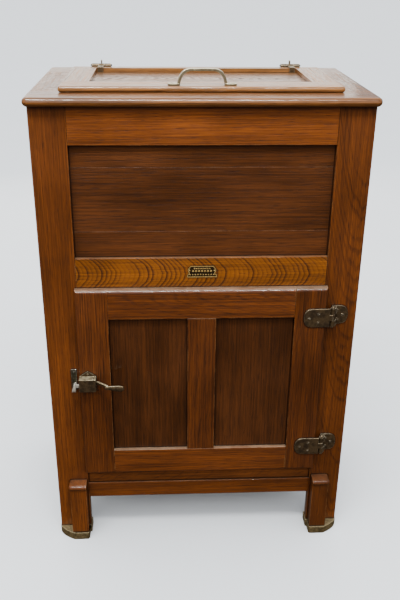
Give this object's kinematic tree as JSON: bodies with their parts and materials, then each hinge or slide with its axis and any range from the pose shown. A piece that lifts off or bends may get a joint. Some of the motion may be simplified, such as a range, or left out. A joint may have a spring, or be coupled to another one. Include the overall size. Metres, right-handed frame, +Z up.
{
  "type": "icebox",
  "caption": "Upright oak icebox with a lift lid over a zinc-lined ice chamber and a framed, latched door over a shelved food chamber.",
  "frame": {"origin": "on the floor, under the middle of the whole object", "axes": "+Z up, the door faces -Y, +X to the right seen from the front"},
  "size_m": [0.684, 0.457, 1.084],
  "materials": {
    "oak_case": "satin varnish",
    "oak_top": "gloss varnish",
    "oak_lid": "gloss varnish",
    "oak_door": "satin varnish",
    "dark_oak_panels": "satin varnish",
    "golden_oak": "satin varnish",
    "pine": "bare, aged",
    "zinc_sheet": "dull zinc",
    "tinned_wire": "tinned",
    "insulation": "packed fibre",
    "dark_bronze": "aged bronze",
    "shoe_metal": "tarnished",
    "worn_steel": "worn bright",
    "aged_brass": "aged brass"
  },
  "bodies": {
    "cabinet": {"front_stile_left": "oak_case", "front_stile_right": "oak_case", "front_top_rail": "oak_case", "side_frame_left": "oak_case", "side_frame_right": "oak_case", "side_panel_left_lower": "oak_case", "side_panel_left_upper": "oak_case", "side_panel_right_lower": "oak_case", "side_panel_right_upper": "oak_case", "front_base_rail": "oak_case", "foot_block_left": "oak_case", "foot_block_right": "oak_case", "top_frame": "oak_top", "front_upper_panel": "dark_oak_panels", "door_jamb": "dark_oak_panels", "front_mid_rail": "golden_oak", "back_boards": "pine", "bottom_board": "pine", "ice_liner": "zinc_sheet", "food_liner": "zinc_sheet", "drain_pipe": "zinc_sheet", "drain_trap_cup": "zinc_sheet", "ice_rack": "tinned_wire", "shelf_upper": "tinned_wire", "shelf_lower": "tinned_wire", "insulation_jacket": "insulation", "door_hinge_upper_case_leaf": "dark_bronze", "door_hinge_upper_pin": "dark_bronze", "door_hinge_lower_case_leaf": "dark_bronze", "door_hinge_lower_pin": "dark_bronze", "lid_hinge_left_case_leaf": "dark_bronze", "lid_hinge_left_pin": "dark_bronze", "lid_hinge_right_case_leaf": "dark_bronze", "lid_hinge_right_pin": "dark_bronze", "foot_shoe_left": "shoe_metal", "foot_shoe_right": "shoe_metal", "latch_strike": "worn_steel", "badge": "aged_brass"},
    "lid": {"lid_front_rail": "oak_lid", "lid_back_rail": "oak_lid", "lid_stile_left": "oak_lid", "lid_stile_right": "oak_lid", "lid_panel": "oak_lid", "lid_plug": "zinc_sheet", "lid_handle": "aged_brass", "lid_hinge_left_lid_leaf": "dark_bronze", "lid_hinge_right_lid_leaf": "dark_bronze"},
    "door": {"door_stile_left": "oak_door", "door_stile_right": "oak_door", "door_top_rail": "oak_door", "door_bottom_rail": "oak_door", "door_muntin": "oak_door", "door_panel_left": "dark_oak_panels", "door_panel_right": "dark_oak_panels", "door_liner": "zinc_sheet", "door_hinge_upper_door_leaf": "dark_bronze", "door_hinge_lower_door_leaf": "dark_bronze", "latch_body": "dark_bronze"},
    "latch_lever": {"latch_lever": "dark_bronze"},
    "latch_bolt": {"latch_bolt": "worn_steel"}
  },
  "joints": [
    {"name": "lid_hinge", "type": "hinge", "parent": "cabinet", "child": "lid", "pos_m": [0, 0.1615, 1.0545], "axis": [-1, 0, 0], "range_deg": [0, 98]},
    {"name": "door_hinge", "type": "hinge", "parent": "cabinet", "child": "door", "pos_m": [0.281, -0.1885, 0.415], "axis": [0, 0, 1], "range_deg": [0, 115]},
    {"name": "latch_lever_pivot", "type": "hinge", "parent": "door", "child": "latch_lever", "pos_m": [-0.2375, -0.2035, 0.4315], "axis": [0, 0, -1], "range_deg": [0, 22], "stiffness_Nm_per_rad": 1, "springref_deg": -5.73},
    {"name": "latch_bolt_slide", "type": "slide", "parent": "door", "child": "latch_bolt", "axis": [1, 0, 0], "range_m": [0, 0.005]}
  ],
  "couplings": [
    {"joint": "latch_bolt_slide", "follows": "latch_lever_pivot", "m_per_rad": 0.0125}
  ]
}
